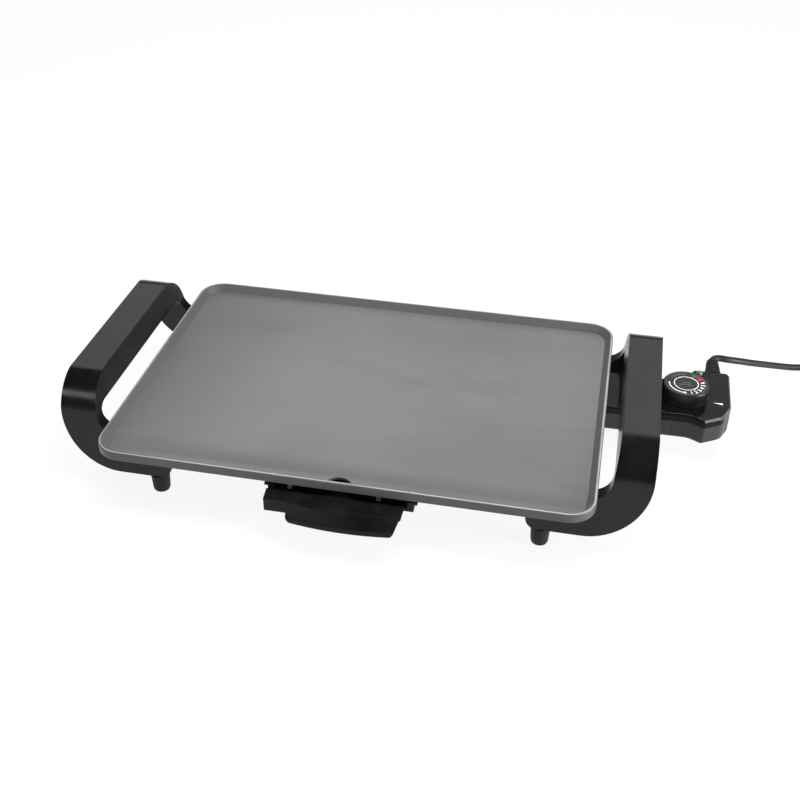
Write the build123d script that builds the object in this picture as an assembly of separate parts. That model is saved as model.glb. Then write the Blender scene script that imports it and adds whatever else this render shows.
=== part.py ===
from build123d import *
import os
from math import asin, atan2, cos, degrees, pi, sin, tan, radians

# Electric griddle. Millimetres, +Z up, +X to the user's right, -Y towards the user.
# Everything is laid out about the middle of the plate, on a table at z = 0. At the end all
# pieces shift together, so that the origin is under the middle of the griddle's own box.

# Cooking plate
PLATE_LENGTH = 510.0
PLATE_WIDTH = 358.0
PLATE_CORNER = 28.0
RIM_TOP = 77.5
RIM_DEPTH = 8.0
RIM_CREST = 3.2
RIM_SLOPE = 7.0
RIM_EDGE = 1.3
SKIRT_HEIGHT = 9.5
PLATE_THICKNESS = 4.5
UNDERCUT = 10.0
GUTTER_WIDTH = 24.0
GUTTER_RAMP = 12.0
GUTTER_DROP = 1.6
DRAIN_RADIUS = 14.5
DRAIN_X = 2.6
LUG_SPACING = 90.0
LUG_SIZE = 4.0
LUG_DROP = 7.0

# Handles, which also carry the feet
GRIP_TOP = 118.0
GRIP_THICKNESS = 30.4
GRIP_WIDTH = 36.5
GRIP_LEAN = 5.0
BEND_RADIUS = 65.0
BEND_INSET = 12.0
INNER_BEND = 23.5
ARM_THICKNESS = 40.0
ARM_REACH = 68.0
ARM_END_RADIUS = 12.0
ARM_FACE_SETBACK = 62.0
ARM_FRONT_SETBACK = 37.0
ARM_LEAN = 11.0
GRIP_BEND = 45.0
WINDOW_CORNER = 13.0
HANDLE_EDGE = 1.6
HANDLE_WALL = 3.2
RIB_THICKNESS = 2.0
RIB_COUNT = 5

# Feet and their fixings
FOOT_HEIGHT = 22.0
FOOT_DIAMETER = 18.0
FOOT_SHOULDER = 20.5
FOOT_EDGE = 2.5
FOOT_INSET_X = 52.0
FOOT_INSET_Y = 45.5
PLUG_DIAMETER = 10.0
PLUG_DEPTH = 10.0
SCREW_SHANK = 4.0
SCREW_HEAD = 7.6
SCREW_SEAT = 16.0
SCREW_BITE = 5.0
SCREW_OFFSET = 10.0
SCREW_PITCH = 21.0
SCREW_FROM_FACE = 8.5
BOSS_DIAMETER = 15.0

# Heating element and its terminals
ELEMENT_DIAMETER = 6.6
ELEMENT_DEPTH = 3.6
BEAD_WIDTH = 12.0
BEAD_HEIGHT = 6.5
ELEMENT_BEND = 24.0
ELEMENT_FRONT_INSET = 72.0
ELEMENT_REAR_INSET = 70.0
ELEMENT_LEFT_INSET = 50.0
ELEMENT_FRONT_RIGHT = 120.0
ELEMENT_REAR_RIGHT = 118.0
TERMINAL_FROM_REAR = 110.5
TERMINAL_Z = 46.5
TERMINAL_SPACING = 36.0
TERMINAL_INSET = 59.0
PIN_DIAMETER = 5.0
PIN_LENGTH = 38.0
INSULATOR_LENGTH = 5.0
SOCKET_LENGTH = 46.0
SOCKET_WIDTH = 15.0
SOCKET_INSET = 60.0
GUARD_LENGTH = 38.0
GUARD_WIDTH = 70.0
GUARD_BOTTOM = 33.0
SHEET = 1.2
GUARD_TAB = 8.0

# Drip tray and its rails
TRAY_CENTRE = 1.5
PANEL_WIDTH = 140.0
PAN_WIDTH = 124.0
TRAY_DEPTH = 68.0
TRAY_TOP = 58.8
TRAY_BOTTOM = 41.0
TRAY_PROUD = 13.0
TRAY_WALL = 2.2
SHELF_DEPTH = 13.0
SHELF_RISE = 1.7
SHELF_FALL = 1.8
LIP_CREASE = 5.5
LIP_FACE_DROP = 12.0
LIP_LEFT = 44.0
LIP_RIGHT = 71.0
LIP_SLANT = 8.0
LIP_PROUD = 15.5
LIP_BOTTOM = 38.0
LIP_CORNER = 8.0
LIP_BOW = 5.0
FLANGE = 5.0
RAIL_CENTRE = 6.5
RAIL_WEB = 6.4
RAIL_LEDGE = 2.4
RAIL_HOOK = 3.5
RAIL_FRONT_INSET = 1.0
RAIL_SCREW_HEAD = 5.6
RAIL_SCREW_FRONT = 12.0
RAIL_SCREW_BACK = 8.0

# Temperature control
NECK_START_GAP = 17.0
NECK_LENGTH = 70.0
NECK_FRONT_REACH = 36.5
NECK_REAR_REACH = 34.5
CONTROL_BOTTOM = 30.0
CONTROL_TOP = 61.0
CONTROL_SPLIT = 52.0
CONTROL_WALL = 2.4
HEAD_LENGTH = 82.0
TOP_BEVEL = 2.0
BOTTOM_EDGE = 2.5
GRIP_GROOVES = 4
GROOVE_PITCH = 4.6
GROOVE_RADIUS = 1.3
GROOVES_FROM_DIAL = 12.0
GROOVE_DEEP = 0.7
BLOCK_LENGTH = 54.0
BLOCK_WIDTH = 54.0
BLOCK_HEIGHT = 20.0
BLOCK_OVERLAP = 24.0
CONTACT_WALL = 1.0
CONTACT_LENGTH = 42.0
PROBE_DIAMETER = 6.0
PROBE_LENGTH = 104.0
PROBE_WALL = 0.6
ROD_DIAMETER = 3.0
POST_DIAMETER = 7.0
HOUSING_SCREW = 2.8
HOUSING_SCREW_HEAD = 5.4
HOUSING_SCREW_SINK = 2.4
NECK_POST_BACK = 14.0
POST_WALL_GAP = 0.6
FRONT_POST = (18.0, 11.0)
REAR_POST = (8.5, 9.0)

# Outline of the head seen from above: distance back from its end, distance behind the
# terminals, corner radius
HEAD_OUTLINE = [
    (44.0, -35.5, 16.0),
    (29.0, -43.5, 3.0),
    (9.0, -31.5, 16.0),
    (0.0, -11.5, 20.0),
    (0.0, 59.5, 5.0),
    (41.0, 59.5, 4.0),
    (46.0, 34.5, 3.0),
]

# Dial
DIAL_RADIUS = 25.3
DIAL_TOP = 77.0
DIAL_GAP = 0.8
DIAL_WALL = 2.4
DIAL_FROM_HEAD_END = 51.0
DIAL_BEHIND_TERMINALS = 3.5
DIAL_SKIRT = 1.5
KNURL_COUNT = 45
KNURL_RADIUS = 0.8
SPINDLE_DIAMETER = 6.0
SPINDLE_BOTTOM = 44.5
BUSH_DIAMETER = 10.0
BUSH_FLANGE = 14.0

# Thermostat
FRAME_SHEET = 1.5
FRAME_LENGTH = 44.0
FRAME_WIDTH = 26.0
FRAME_TOP = 51.0
STACK_FROM_DIAL = 36.0
STACK_DIAMETER = 12.0
LEAF_WIDTH = 9.0
LEAF_SHEET = 0.7
LEAF_LENGTH = 42.0
LEAF_GAP = 4.0
FIXED_LEAF_Z = 37.5
LEAD_DIAMETER = 2.6

# Lamp
LENS_DIAMETER = 7.0
LENS_PROUD = 4.0
LENS_FROM_HEAD_END = 34.0
LENS_BEHIND_TERMINALS = 51.0
LAMP_DIAMETER = 5.0
LAMP_LENGTH = 14.0

# Strain relief
RELIEF_FROM_HEAD_END = 17.5
RELIEF_ROOT = 19.5
RELIEF_TIP = 13.5
RELIEF_NECK = 11.0
RELIEF_FLANGE = 13.0
RELIEF_SHEET = 2.0
RELIEF_GROOVES = 6
RELIEF_GROOVE_DEPTH = 1.3

# Cord: the part that lies free, then a put-away coil, then the plug
CORD_DIAMETER = 8.0
CORD_ROUTE = [
    (372.5, 160.5, 52.0),
    (372.5, 168.5, 52.0),
    (379.5, 173.5, 51.9),
    (391.0, 174.6, 50.2),
    (405.0, 181.5, 45.8),
    (422.0, 194.5, 37.0),
    (442.0, 213.5, 25.3),
    (462.0, 232.0, 13.8),
    (480.0, 246.0, 5.4),
    (500.0, 252.6, 4.2),
    (520.0, 253.0, 4.2),
    (536.0, 253.0, 4.2),
]
COIL_CENTRE = (572.0, 200.0)
COIL_START_RADIUS = 53.0
COIL_END_RADIUS = 61.0
COIL_INNER = 40.5
COIL_OUTER = 57.5
COIL_HEIGHT = 16.6
COIL_TURNS = 2.25
PLUG_LENGTH = 44.0
PLUG_WIDTH = 26.0
PLUG_HEIGHT = 24.0
PLUG_TAPER = 0.62
PLUG_GAP = 26.0
BLADE_LENGTH = 17.5
BLADE_WIDTH = 6.3
BLADE_SHEET = 1.5
BLADE_SPACING = 12.7
EARTH_PIN = 4.8

CLEARANCE = 0.35
LOOSE_GAP = 0.6

# Places that several pieces share
EDGE_X = PLATE_LENGTH / 2
EDGE_Y = PLATE_WIDTH / 2
COOK_Z = RIM_TOP - RIM_DEPTH
SKIRT_Z = RIM_TOP - SKIRT_HEIGHT
UNDER_Z = COOK_Z - PLATE_THICKNESS
POCKET_INSET = RIM_CREST + RIM_SLOPE
HOLE_DEPTH = PLATE_THICKNESS - 1.5
BEND_X = EDGE_X - BEND_INSET
OUTER_X = BEND_X + BEND_RADIUS
ARM_TOP = FOOT_HEIGHT + ARM_THICKNESS
ARM_END_X = EDGE_X - ARM_REACH
FOOT_X = EDGE_X - FOOT_INSET_X
FOOT_Y = EDGE_Y - FOOT_INSET_Y
ARM_FACE_Y = EDGE_Y - ARM_FACE_SETBACK
ARM_FOOT_Y = EDGE_Y - ARM_FRONT_SETBACK
GRIP_BOTTOM = GRIP_TOP - GRIP_THICKNESS
GRIP_IN_X = OUTER_X - GRIP_WIDTH
TUBE_Z = UNDER_Z - ELEMENT_DEPTH
TERMINAL_Y = EDGE_Y - TERMINAL_FROM_REAR
PIN_Y = [TERMINAL_Y - TERMINAL_SPACING / 2, TERMINAL_Y + TERMINAL_SPACING / 2]
PIN_X = EDGE_X - TERMINAL_INSET
PIN_END_X = PIN_X + PIN_LENGTH
GUARD_X = PIN_END_X - GUARD_LENGTH + 2.0
SOCKET_X = EDGE_X - SOCKET_INSET - SOCKET_LENGTH
PANEL_Y = -(EDGE_Y + TRAY_PROUD)
PAN_BACK_Y = PANEL_Y + TRAY_DEPTH
RAIL_FRONT_Y = -(EDGE_Y - RAIL_FRONT_INSET)
RAIL_GAP = PAN_WIDTH / 2 + FLANGE + LOOSE_GAP
NECK_X = EDGE_X - NECK_START_GAP
NECK_FRONT = TERMINAL_Y - NECK_FRONT_REACH
NECK_REAR = TERMINAL_Y + NECK_REAR_REACH
BLOCK_X = NECK_X + BLOCK_OVERLAP - BLOCK_LENGTH
BLOCK_END_X = BLOCK_X + BLOCK_LENGTH
HEAD_END_X = NECK_X + NECK_LENGTH + HEAD_LENGTH
FLOOR_Z = CONTROL_BOTTOM + CONTROL_WALL
CEILING_Z = CONTROL_TOP - CONTROL_WALL
DIAL_X = HEAD_END_X - DIAL_FROM_HEAD_END
DIAL_Y = TERMINAL_Y + DIAL_BEHIND_TERMINALS
LENS_X = HEAD_END_X - LENS_FROM_HEAD_END
LENS_Y = TERMINAL_Y + LENS_BEHIND_TERMINALS
RELIEF_X = HEAD_END_X - RELIEF_FROM_HEAD_END
HEAD_REAR_Y = TERMINAL_Y + HEAD_OUTLINE[4][1]
INNER_REAR_Y = HEAD_REAR_Y - CONTROL_WALL
RELIEF_Z = CONTROL_SPLIT
STACK_X = DIAL_X - STACK_FROM_DIAL
MOVING_LEAF_Z = FIXED_LEAF_Z + LEAF_SHEET + LEAF_GAP


def handle_screw_places():
    y = ARM_FACE_Y + SCREW_FROM_FACE
    columns = [FOOT_X + SCREW_OFFSET, FOOT_X + SCREW_OFFSET + SCREW_PITCH]
    return [(side * x, end * y) for x in columns for side in (-1, 1) for end in (-1, 1)]


def foot_places():
    return [(side * FOOT_X, end * FOOT_Y) for side in (-1, 1) for end in (-1, 1)]


def guard_screw_places():
    reach = GUARD_WIDTH / 2 + GUARD_TAB / 2
    return [(GUARD_X + GUARD_LENGTH / 2, TERMINAL_Y + side * reach) for side in (-1, 1)]


def rail_screw_places():
    reach = RAIL_GAP + RAIL_WEB / 2
    rows = [RAIL_FRONT_Y + RAIL_SCREW_FRONT, PAN_BACK_Y - RAIL_SCREW_BACK]
    return [(RAIL_CENTRE + side * reach, y) for side in (-1, 1) for y in rows]


def housing_screw_places():
    neck_x = BLOCK_END_X + NECK_POST_BACK
    inset = CONTROL_WALL + POST_DIAMETER / 2 + POST_WALL_GAP
    return [
        (neck_x, NECK_FRONT + inset),
        (neck_x, NECK_REAR - inset),
        (HEAD_END_X - FRONT_POST[0], NECK_FRONT + FRONT_POST[1]),
        (HEAD_END_X - REAR_POST[0], HEAD_REAR_Y - REAR_POST[1]),
    ]


def box_between(low, high):
    """A block from its lowest to its highest corner."""
    size = [h - l for l, h in zip(low, high)]
    middle = [(h + l) / 2 for l, h in zip(low, high)]
    return Pos(*middle) * Box(*size)


def upright(radius, x, y, z_low, z_high):
    """A round bar along Z."""
    return Pos(x, y, (z_low + z_high) / 2) * Cylinder(radius, z_high - z_low)


def lengthwise(radius, x_low, x_high, y, z):
    """A round bar along X."""
    return Pos((x_low + x_high) / 2, y, z) * Rot(0, 90, 0) * Cylinder(radius, x_high - x_low)


def slab(length, width, corner, z_low, z_high):
    """A rounded plate about the Z axis."""
    outline = Pos(0, 0, z_low) * RectangleRounded(length, width, corner)
    return extrude(outline, amount=z_high - z_low)


def face_of(corners, place):
    """A closed outline from (u, v, corner radius) rows; place turns u and v into a point."""
    points = [place(u, v) for u, v, radius in corners]
    radii = [radius for u, v, radius in corners]
    return make_face(FilletPolyline(*points, radius=radii, close=True))


def front_face(corners):
    return face_of(corners, lambda x, z: (x, 0, z))


def side_face(corners):
    return face_of(corners, lambda y, z: (0, y, z))


def plan_face(corners, height):
    return face_of(corners, lambda x, y: (x, y, height))


def swept_bar(points, bends, diameter):
    """A round bar along straight runs joined by tangent arcs."""
    path = FilletPolyline(*points, radius=bends)
    start = Plane(origin=path @ 0, z_dir=path % 0)
    return sweep(start * Circle(diameter / 2), path=path)


def pan_screw(x, y, seat, tip, shank, head):
    """A slotted pan-head screw pointing up: seat is the underside of its head."""
    height = head * 0.38
    cap = upright(head / 2, x, y, seat - height, seat)
    cap = fillet(cap.edges().group_by(Axis.Z)[0], height * 0.4)
    slot_low = (x - head, y - 0.5, seat - height - 1)
    slot_high = (x + head, y + 0.5, seat - height * 0.6)
    return cap - box_between(slot_low, slot_high) + upright(shank / 2, x, y, seat, tip)


# ------------------------------------------------------------------ cooking plate
def element_route():
    """The element runs round under the plate and drops to its two terminals."""
    left = -EDGE_X + ELEMENT_LEFT_INSET
    front = -EDGE_Y + ELEMENT_FRONT_INSET
    rear = EDGE_Y - ELEMENT_REAR_INSET
    drop_end = PIN_X - ELEMENT_BEND * 0.7
    drop_start = PIN_X - ELEMENT_BEND * 1.7
    small = ELEMENT_BEND * 0.35
    return [
        (PIN_X, PIN_Y[0], TERMINAL_Z, 0),
        (drop_end, PIN_Y[0], TERMINAL_Z, small),
        (drop_start, PIN_Y[0], TUBE_Z, small),
        (ELEMENT_FRONT_RIGHT, PIN_Y[0], TUBE_Z, small * 2),
        (ELEMENT_FRONT_RIGHT, front, TUBE_Z, ELEMENT_BEND),
        (left, front, TUBE_Z, ELEMENT_BEND),
        (left, rear, TUBE_Z, ELEMENT_BEND),
        (ELEMENT_REAR_RIGHT, rear, TUBE_Z, small),
        (ELEMENT_REAR_RIGHT, PIN_Y[1], TUBE_Z, small),
        (drop_start, PIN_Y[1], TUBE_Z, small),
        (drop_end, PIN_Y[1], TERMINAL_Z, small),
        (PIN_X, PIN_Y[1], TERMINAL_Z, 0),
    ]


def heating_element():
    route = element_route()
    points = [row[:3] for row in route]
    return swept_bar(points, [row[3] for row in route[1:-1]], ELEMENT_DIAMETER)


def element_bead():
    """The raised bead that the element is cast into, following its level part."""
    level = element_route()[2:-2]
    points = [(x, y, UNDER_Z) for x, y, z, radius in level]
    line = FilletPolyline(*points, radius=[row[3] for row in level[1:-1]])
    start = Plane(origin=line @ 0, x_dir=(0, 1, 0), z_dir=line % 0)
    drop = -BEAD_HEIGHT / 2 if start.y_dir.Z > 0 else BEAD_HEIGHT / 2
    section = start * Pos(0, drop) * Rectangle(BEAD_WIDTH, BEAD_HEIGHT)
    return sweep(section, path=line)


def cooking_pocket():
    """The space above the cooking surface: sloped walls, a flat bed and a front gutter."""
    length = PLATE_LENGTH - 2 * RIM_CREST
    width = PLATE_WIDTH - 2 * RIM_CREST
    depth = RIM_DEPTH + GUTTER_DROP
    slope = atan2(RIM_SLOPE, depth) * 180 / pi
    mouth = Pos(0, 0, RIM_TOP) * RectangleRounded(length, width, PLATE_CORNER - RIM_CREST)
    bowl = extrude(mouth, amount=-depth, taper=slope)
    gutter_z = COOK_Z - GUTTER_DROP
    gutter_back = -EDGE_Y + POCKET_INSET + GUTTER_WIDTH
    bed = side_face([
        (-EDGE_Y - 5, gutter_z - 3, 0),
        (-EDGE_Y - 5, gutter_z, 0),
        (gutter_back, gutter_z, 20),
        (gutter_back + GUTTER_RAMP, COOK_Z, 20),
        (EDGE_Y + 5, COOK_Z, 0),
        (EDGE_Y + 5, gutter_z - 3, 0),
    ])
    return bowl - extrude(bed, amount=EDGE_X, dir=(1, 0, 0), both=True)


def drain_opening():
    """A half-round opening whose straight side runs along the foot of the front rim."""
    front = -EDGE_Y + POCKET_INSET - RIM_CREST
    hole = upright(DRAIN_RADIUS, DRAIN_X, front, UNDER_Z - 5, RIM_TOP + 5)
    low = (DRAIN_X - DRAIN_RADIUS - 1, front, UNDER_Z - 6)
    high = (DRAIN_X + DRAIN_RADIUS + 1, front + DRAIN_RADIUS + 1, RIM_TOP + 6)
    return hole & box_between(low, high)


def griddle_plate():
    inset = 2 * UNDERCUT
    body = slab(PLATE_LENGTH, PLATE_WIDTH, PLATE_CORNER, SKIRT_Z, RIM_TOP)
    body = fillet(body.edges().group_by(Axis.Z)[-1], RIM_EDGE)
    body += slab(PLATE_LENGTH - inset, PLATE_WIDTH - inset, PLATE_CORNER - UNDERCUT, UNDER_Z, SKIRT_Z)
    body -= cooking_pocket()
    body += element_bead()
    for x, y in handle_screw_places():
        body += upright(BOSS_DIAMETER / 2, x, y, ARM_TOP, UNDER_Z + 1)
    body += box_between(
        (SOCKET_X, TERMINAL_Y - SOCKET_WIDTH / 2, TERMINAL_Z - SOCKET_WIDTH / 2),
        (SOCKET_X + SOCKET_LENGTH, TERMINAL_Y + SOCKET_WIDTH / 2, UNDER_Z + 1),
    )
    for side in (-1, 1):
        x = side * LUG_SPACING / 2
        body += box_between(
            (x - LUG_SIZE / 2, -EDGE_Y + 1.5, SKIRT_Z - LUG_DROP),
            (x + LUG_SIZE / 2, -EDGE_Y + 1.5 + LUG_SIZE, SKIRT_Z + 0.5),
        )
    body -= heating_element()
    probe_room = PROBE_DIAMETER / 2 + CLEARANCE
    body -= lengthwise(probe_room, SOCKET_X + 4, SOCKET_X + SOCKET_LENGTH + 1, TERMINAL_Y, TERMINAL_Z)
    body -= drain_opening()
    for x, y in handle_screw_places():
        body -= upright(SCREW_SHANK / 2, x, y, ARM_TOP - 1, ARM_TOP + SCREW_BITE)
    for x, y in guard_screw_places() + rail_screw_places():
        body -= upright(SCREW_SHANK / 2, x, y, UNDER_Z - 1, UNDER_Z + HOLE_DEPTH)
    return body


# ------------------------------------------------------------------ terminals
def terminal_insulators():
    ring = Cylinder(ELEMENT_DIAMETER / 2, INSULATOR_LENGTH) - Cylinder(PIN_DIAMETER / 2, 20)
    x = PIN_X + INSULATOR_LENGTH / 2
    return Compound(children=[Pos(x, y, TERMINAL_Z) * Rot(0, 90, 0) * ring for y in PIN_Y])


def terminal_pins():
    pins = []
    for y in PIN_Y:
        pin = lengthwise(PIN_DIAMETER / 2, PIN_X, PIN_END_X, y, TERMINAL_Z)
        pins.append(chamfer(pin.edges().sort_by(Axis.X)[-1], PIN_DIAMETER / 5))
    return Compound(children=pins)


def terminal_guard():
    """A sheet steel channel, open towards the plate, that shields the live pins."""
    front = GUARD_X + GUARD_LENGTH
    left = TERMINAL_Y - GUARD_WIDTH / 2
    right = TERMINAL_Y + GUARD_WIDTH / 2
    body = box_between((GUARD_X, left, GUARD_BOTTOM), (front, right, UNDER_Z))
    hollow_low = (GUARD_X - 1, left + SHEET, GUARD_BOTTOM + SHEET)
    body -= box_between(hollow_low, (front + 1, right - SHEET, UNDER_Z + 1))
    tab_z = UNDER_Z - SHEET
    body += box_between((GUARD_X, left - GUARD_TAB, tab_z), (front, left + SHEET, UNDER_Z))
    body += box_between((GUARD_X, right - SHEET, tab_z), (front, right + GUARD_TAB, UNDER_Z))
    for x, y in guard_screw_places():
        body -= upright(SCREW_SHANK / 2, x, y, tab_z - 1, UNDER_Z + 1)
    return body


def guard_screws():
    tip = UNDER_Z + HOLE_DEPTH
    seat = UNDER_Z - SHEET
    places = guard_screw_places()
    return Compound(children=[pan_screw(x, y, seat, tip, SCREW_SHANK, SCREW_HEAD) for x, y in places])


# ------------------------------------------------------------------ handles and feet
def handle_outline_front():
    return front_face([
        (ARM_END_X, FOOT_HEIGHT, ARM_END_RADIUS),
        (OUTER_X, FOOT_HEIGHT, BEND_RADIUS),
        (OUTER_X, GRIP_TOP, HANDLE_EDGE),
        (GRIP_IN_X, GRIP_TOP, HANDLE_EDGE),
        (GRIP_IN_X - GRIP_LEAN, ARM_TOP, INNER_BEND),
        (ARM_END_X, ARM_TOP, 0),
    ])


def handle_outline_side():
    lean = ARM_LEAN * (GRIP_TOP - FOOT_HEIGHT) / (GRIP_TOP - GRIP_BEND - FOOT_HEIGHT)
    return side_face([
        (-ARM_FOOT_Y, FOOT_HEIGHT, 0),
        (-ARM_FOOT_Y + lean, GRIP_TOP, GRIP_BEND),
        (ARM_FOOT_Y - lean, GRIP_TOP, GRIP_BEND),
        (ARM_FOOT_Y, FOOT_HEIGHT, 0),
    ])


def finger_window():
    return side_face([
        (-ARM_FACE_Y, FOOT_HEIGHT - 5, 0),
        (-ARM_FACE_Y, GRIP_BOTTOM, WINDOW_CORNER),
        (ARM_FACE_Y, GRIP_BOTTOM, WINDOW_CORNER),
        (ARM_FACE_Y, FOOT_HEIGHT - 5, 0),
    ])


def grip_hollow():
    """The grip is moulded as a channel, open downwards and stiffened by cross ribs."""
    wall = HANDLE_WALL
    half = ARM_FACE_Y - WINDOW_CORNER - wall
    section = front_face([
        (GRIP_IN_X - GRIP_LEAN / 2 + wall, GRIP_BOTTOM - 1, 0),
        (OUTER_X - wall, GRIP_BOTTOM - 1, 0),
        (OUTER_X - wall, GRIP_TOP - wall, 2),
        (GRIP_IN_X + wall, GRIP_TOP - wall, 2),
    ])
    room = extrude(section, amount=half, dir=(0, 1, 0), both=True)
    for number in range(RIB_COUNT):
        y = -half + 2 * half * (number + 1) / (RIB_COUNT + 1)
        low = (GRIP_IN_X - 20, y - RIB_THICKNESS / 2, GRIP_BOTTOM + 2.5)
        room -= box_between(low, (OUTER_X, y + RIB_THICKNESS / 2, GRIP_TOP))
    return room


def right_handle():
    """One moulding: a bent band seen from the front, cut to a bent outline seen from the side."""
    body = extrude(handle_outline_front(), amount=EDGE_Y, dir=(0, 1, 0), both=True)
    body &= extrude(handle_outline_side(), amount=OUTER_X + 10, dir=(1, 0, 0))
    body -= extrude(finger_window(), amount=OUTER_X + 10, dir=(1, 0, 0))
    body -= grip_hollow()
    for x, y in handle_screw_places():
        if x > 0:
            body -= upright(SCREW_SHANK / 2 + CLEARANCE, x, y, FOOT_HEIGHT, ARM_TOP + 1)
            body -= upright(SCREW_HEAD / 2 + LOOSE_GAP, x, y, FOOT_HEIGHT - 1, ARM_TOP - SCREW_SEAT)
    for x, y in foot_places():
        if x > 0:
            body -= upright(PLUG_DIAMETER / 2, x, y, FOOT_HEIGHT - 1, FOOT_HEIGHT + PLUG_DEPTH)
    return body


def handle_screws():
    seat = ARM_TOP - SCREW_SEAT
    tip = ARM_TOP + SCREW_BITE
    places = handle_screw_places()
    return Compound(children=[pan_screw(x, y, seat, tip, SCREW_SHANK, SCREW_HEAD) for x, y in places])


def rubber_feet():
    feet = []
    for x, y in foot_places():
        cone = Cone(FOOT_DIAMETER / 2, FOOT_SHOULDER / 2, FOOT_HEIGHT)
        pad = Pos(x, y, FOOT_HEIGHT / 2) * cone
        pad = fillet(pad.edges().group_by(Axis.Z)[0], FOOT_EDGE)
        top = FOOT_HEIGHT + PLUG_DEPTH
        feet.append(pad + upright(PLUG_DIAMETER / 2, x, y, FOOT_HEIGHT, top))
    return Compound(children=feet)


# ------------------------------------------------------------------ drip tray
def drip_tray():
    """A shallow pan with side flanges, behind a wide front shelf and a bowed pull lip."""
    pan_low = RAIL_CENTRE - PAN_WIDTH / 2
    pan_high = RAIL_CENTRE + PAN_WIDTH / 2
    wall = TRAY_WALL
    shelf_y = PANEL_Y + SHELF_DEPTH
    pan = box_between((pan_low, shelf_y - wall, TRAY_BOTTOM), (pan_high, PAN_BACK_Y, TRAY_TOP))
    pan = fillet(pan.edges().filter_by(Axis.Y).group_by(Axis.Z)[0], 4)
    flange_low = (pan_low - FLANGE, shelf_y, TRAY_TOP - wall)
    pan += box_between(flange_low, (pan_high + FLANGE, PAN_BACK_Y, TRAY_TOP))
    hollow_low = (pan_low + wall, shelf_y, TRAY_BOTTOM + wall)
    hollow = box_between(hollow_low, (pan_high - wall, PAN_BACK_Y - wall, TRAY_TOP + SHELF_RISE + 1))
    hollow = fillet(hollow.edges().filter_by(Axis.Y).group_by(Axis.Z)[0], 3)
    left = TRAY_CENTRE - PANEL_WIDTH / 2
    right = TRAY_CENTRE + PANEL_WIDTH / 2
    shelf = side_face([
        (shelf_y, TRAY_BOTTOM, 0),
        (shelf_y, TRAY_TOP + SHELF_RISE, 1),
        (PANEL_Y, TRAY_TOP - SHELF_FALL, 1.5),
        (PANEL_Y, TRAY_BOTTOM, 1.5),
    ])
    front = Pos(left, 0, 0) * extrude(shelf, amount=right - left, dir=(1, 0, 0))
    wedge = front_face([
        (right, TRAY_TOP, 0),
        (right + 1, TRAY_TOP, 0),
        (right + 1, LIP_BOTTOM, 0),
        (right - LIP_SLANT, LIP_BOTTOM, 0),
    ])
    front -= Pos(0, PANEL_Y - 1, 0) * extrude(wedge, amount=SHELF_DEPTH + 2, dir=(0, 1, 0))
    room_low = (left + wall, PANEL_Y + wall, TRAY_BOTTOM - 1)
    room = box_between(room_low, (right - wall - LIP_SLANT, shelf_y - wall, TRAY_TOP - SHELF_FALL - wall))
    return pan + front + pull_lip() - room - hollow


def pull_lip():
    """The lip stands proud of the shelf, bowed in plan, with a sloping face."""
    lip_y = PANEL_Y - LIP_PROUD
    top = TRAY_TOP - SHELF_FALL
    middle = (LIP_RIGHT - LIP_LEFT) / 2
    half = (LIP_LEFT + LIP_RIGHT) / 2
    bow = (half * half + LIP_BOW * LIP_BOW) / (2 * LIP_BOW)
    section = face_of([
        (PANEL_Y + 1, top - 0.2, 0),
        (PANEL_Y - LIP_CREASE, top - 0.8, 1.5),
        (lip_y + 1, top - LIP_FACE_DROP, 5),
        (lip_y, LIP_BOTTOM, 2),
        (lip_y + 5, LIP_BOTTOM, 1),
        (PANEL_Y + 1, TRAY_BOTTOM, 0),
    ], lambda y, z: (middle, y, z))
    turn = degrees(2 * asin(half / bow)) + 4
    post = Axis((middle, lip_y + bow, 0), (0, 0, 1))
    bar = revolve(section.rotate(post, -turn / 2), axis=post, revolution_arc=turn)
    outline = front_face([
        (-LIP_LEFT, LIP_BOTTOM, LIP_CORNER),
        (LIP_RIGHT - LIP_SLANT, LIP_BOTTOM, LIP_CORNER),
        (LIP_RIGHT, TRAY_TOP, 0),
        (-LIP_LEFT, TRAY_TOP, 0),
    ])
    return bar & extrude(outline, amount=EDGE_Y + 100, dir=(0, -1, 0))


def tray_rail(side):
    """A guide screwed under the plate, with a ledge for the tray's flange."""
    web_in = RAIL_GAP
    web_out = RAIL_GAP + RAIL_WEB
    ledge_top = TRAY_TOP - TRAY_WALL - LOOSE_GAP
    bottom = ledge_top - RAIL_LEDGE
    section = front_face([
        (RAIL_CENTRE + side * (web_in - FLANGE + 0.8), bottom, 0),
        (RAIL_CENTRE + side * web_out, bottom, 0.8),
        (RAIL_CENTRE + side * web_out, UNDER_Z - RAIL_LEDGE, 0),
        (RAIL_CENTRE + side * (web_out + RAIL_HOOK), UNDER_Z - RAIL_LEDGE, 0),
        (RAIL_CENTRE + side * (web_out + RAIL_HOOK), UNDER_Z, 0),
        (RAIL_CENTRE + side * web_in, UNDER_Z, 0),
        (RAIL_CENTRE + side * web_in, ledge_top, 0),
        (RAIL_CENTRE + side * (web_in - FLANGE + 0.8), ledge_top, 0),
    ])
    length = PAN_BACK_Y + 2 - RAIL_FRONT_Y
    rail = Pos(0, RAIL_FRONT_Y, 0) * extrude(section, amount=length, dir=(0, 1, 0))
    for x, y in rail_screw_places():
        rail -= upright(SCREW_SHANK / 2, x, y, bottom - 1, UNDER_Z + 1)
    return rail


def rail_screws():
    seat = TRAY_TOP - TRAY_WALL - LOOSE_GAP - RAIL_LEDGE
    tip = UNDER_Z + HOLE_DEPTH
    places = rail_screw_places()
    return Compound(children=[pan_screw(x, y, seat, tip, SCREW_SHANK, RAIL_SCREW_HEAD) for x, y in places])


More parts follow.
